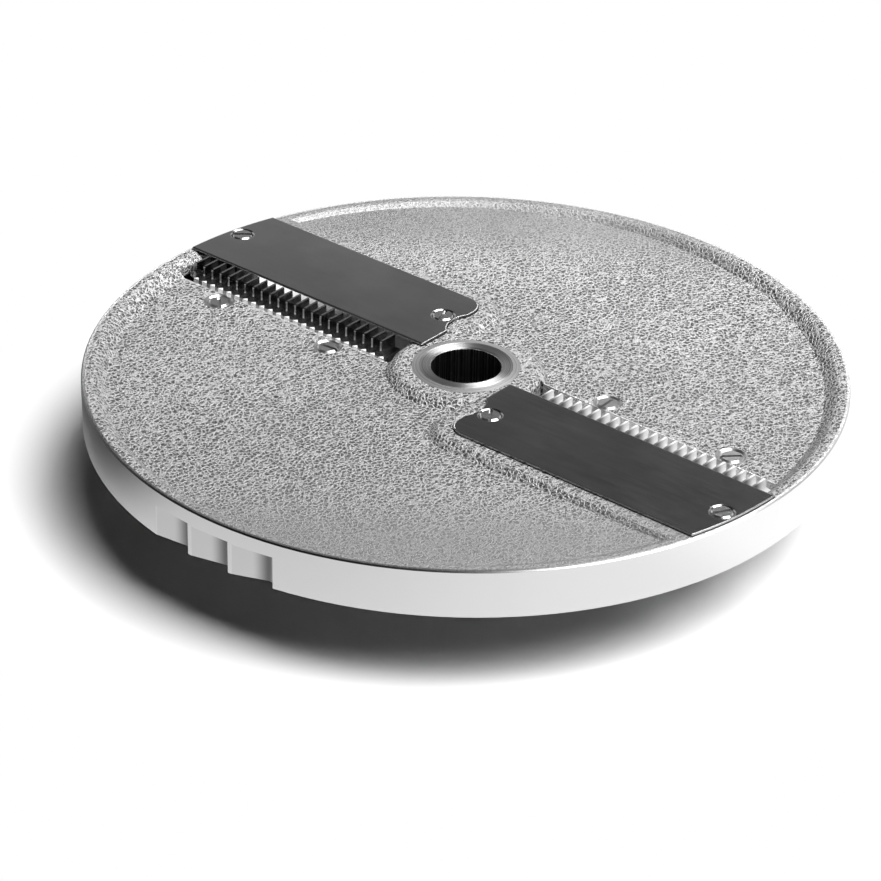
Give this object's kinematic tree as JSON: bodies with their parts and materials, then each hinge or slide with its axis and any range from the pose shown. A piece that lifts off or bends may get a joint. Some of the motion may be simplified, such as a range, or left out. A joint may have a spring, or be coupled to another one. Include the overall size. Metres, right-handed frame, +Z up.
{
  "type": "julienne disc",
  "caption": "Cast aluminium cutting disc for a vegetable cutter, with flat blades and combs of small upright knives that cut food into thin strips.",
  "frame": {"origin": "centre of the bore at the foot of the hub, on the surface the disc stands on", "axes": "+Z up along the bore axis towards the cutting side; +X from the bore along the first blade's cutting edge, which faces +Y; the second blade is half a turn on, along -X"},
  "size_m": [0.205, 0.205, 0.0368],
  "materials": {
    "cast_aluminium": "grained casting, turned on the hub face and the rim",
    "blade_steel": "smooth ground steel",
    "knife_steel": "polished",
    "bar_steel": "machined",
    "screw_steel": "smooth"
  },
  "bodies": {
    "root": {"disc_casting": "cast_aluminium", "blade_a": "blade_steel", "blade_b": "blade_steel", "blade_screw_a_1": "screw_steel", "blade_screw_a_2": "screw_steel", "blade_screw_b_1": "screw_steel", "blade_screw_b_2": "screw_steel", "comb_bar_a": "bar_steel", "comb_bar_b": "bar_steel", "comb_screw_a_1": "screw_steel", "comb_screw_a_2": "screw_steel", "comb_screw_b_1": "screw_steel", "comb_screw_b_2": "screw_steel", "knife_a_01": "knife_steel", "knife_a_02": "knife_steel", "knife_a_03": "knife_steel", "knife_a_04": "knife_steel", "knife_a_05": "knife_steel", "knife_a_06": "knife_steel", "knife_a_07": "knife_steel", "knife_a_08": "knife_steel", "knife_a_09": "knife_steel", "knife_a_10": "knife_steel", "knife_a_11": "knife_steel", "knife_a_12": "knife_steel", "knife_a_13": "knife_steel", "knife_a_14": "knife_steel", "knife_a_15": "knife_steel", "knife_a_16": "knife_steel", "knife_a_17": "knife_steel", "knife_a_18": "knife_steel", "knife_a_19": "knife_steel", "knife_a_20": "knife_steel", "knife_a_21": "knife_steel", "knife_a_22": "knife_steel", "knife_a_23": "knife_steel", "knife_b_01": "knife_steel", "knife_b_02": "knife_steel", "knife_b_03": "knife_steel", "knife_b_04": "knife_steel", "knife_b_05": "knife_steel", "knife_b_06": "knife_steel", "knife_b_07": "knife_steel", "knife_b_08": "knife_steel", "knife_b_09": "knife_steel", "knife_b_10": "knife_steel", "knife_b_11": "knife_steel", "knife_b_12": "knife_steel", "knife_b_13": "knife_steel", "knife_b_14": "knife_steel", "knife_b_15": "knife_steel", "knife_b_16": "knife_steel", "knife_b_17": "knife_steel", "knife_b_18": "knife_steel", "knife_b_19": "knife_steel", "knife_b_20": "knife_steel", "knife_b_21": "knife_steel", "knife_b_22": "knife_steel", "knife_b_23": "knife_steel"}
  },
  "joints": []
}
